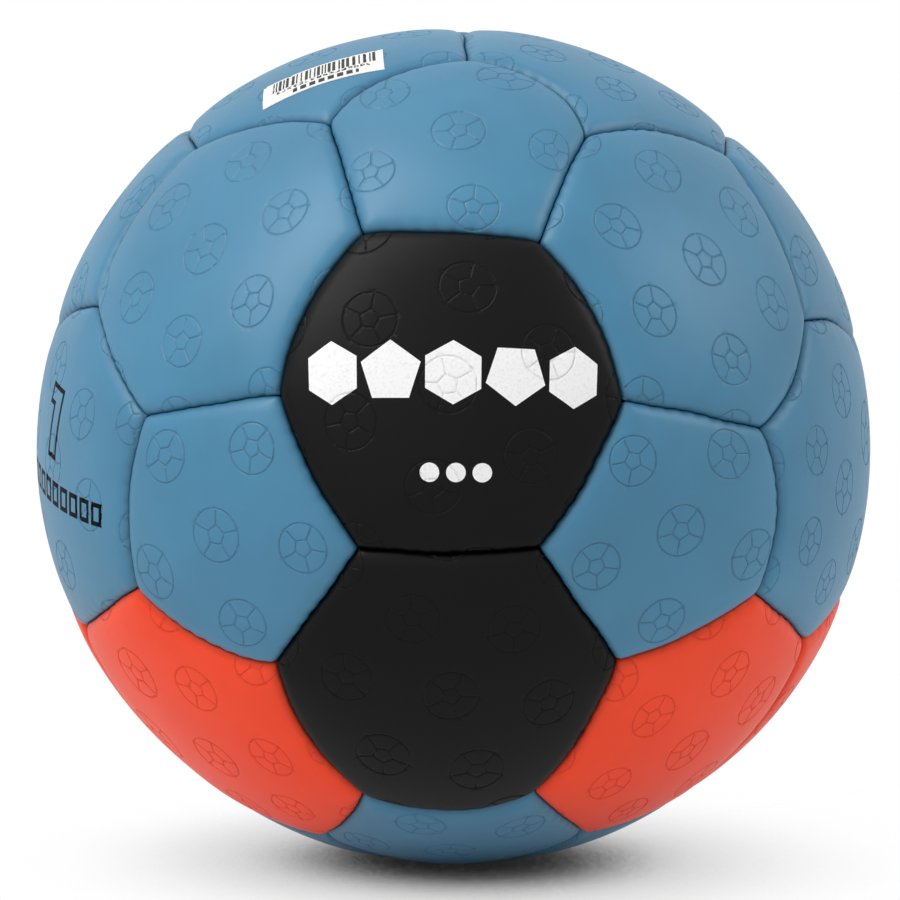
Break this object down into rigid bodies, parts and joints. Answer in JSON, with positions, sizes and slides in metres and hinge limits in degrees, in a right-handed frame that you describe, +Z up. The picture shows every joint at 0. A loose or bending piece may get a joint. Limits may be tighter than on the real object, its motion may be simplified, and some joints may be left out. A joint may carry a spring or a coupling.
{
  "type": "handball",
  "caption": "Hand-sewn ball of padded hexagons and pentagons round an air bladder, with a needle valve.",
  "frame": {"origin": "centre of the ball", "axes": "+Z up as the ball lies in the picture, -Y towards the viewer, +X to the viewer's right; the front hexagon looks 13.2 degrees above -Y and the ball touches the floor at -Z"},
  "size_m": [0.1622, 0.1624, 0.1622],
  "materials": {
    "leather_blue": "satin",
    "leather_red": "satin",
    "leather_black": "satin",
    "foam": "matte",
    "backing": "matte",
    "thread": "matte",
    "bladder_rubber": "matte",
    "valve_rubber": "matte",
    "core_rubber": "matte",
    "label_paper": "matte"
  },
  "bodies": {
    "root": {"cover_hexagon_01": "leather_black", "cover_hexagon_02": "leather_blue", "cover_hexagon_03": "leather_black", "cover_hexagon_04": "leather_blue", "cover_hexagon_05": "leather_blue", "cover_hexagon_06": "leather_blue", "cover_hexagon_07": "leather_red", "cover_hexagon_08": "leather_red", "cover_hexagon_09": "leather_blue", "cover_hexagon_10": "leather_blue", "cover_hexagon_11": "leather_blue", "cover_hexagon_12": "leather_blue", "cover_hexagon_13": "leather_blue", "cover_hexagon_14": "leather_blue", "cover_hexagon_15": "leather_blue", "cover_hexagon_16": "leather_blue", "cover_hexagon_17": "leather_black", "cover_hexagon_18": "leather_red", "cover_hexagon_19": "leather_red", "cover_hexagon_20": "leather_black", "cover_pentagon_01": "leather_blue", "cover_pentagon_02": "leather_blue", "cover_pentagon_03": "leather_blue", "cover_pentagon_04": "leather_blue", "cover_pentagon_05": "leather_blue", "cover_pentagon_06": "leather_blue", "cover_pentagon_07": "leather_blue", "cover_pentagon_08": "leather_red", "cover_pentagon_09": "leather_red", "cover_pentagon_10": "leather_blue", "cover_pentagon_11": "leather_blue", "cover_pentagon_12": "leather_blue", "foam_hexagons": "foam", "foam_pentagons": "foam", "backing_hexagons": "backing", "backing_pentagons": "backing", "threads_between_hexagons": "thread", "threads_round_pentagons": "thread", "bladder": "bladder_rubber", "valve_boot": "valve_rubber", "valve_core": "core_rubber", "size_label": "label_paper"}
  },
  "joints": []
}
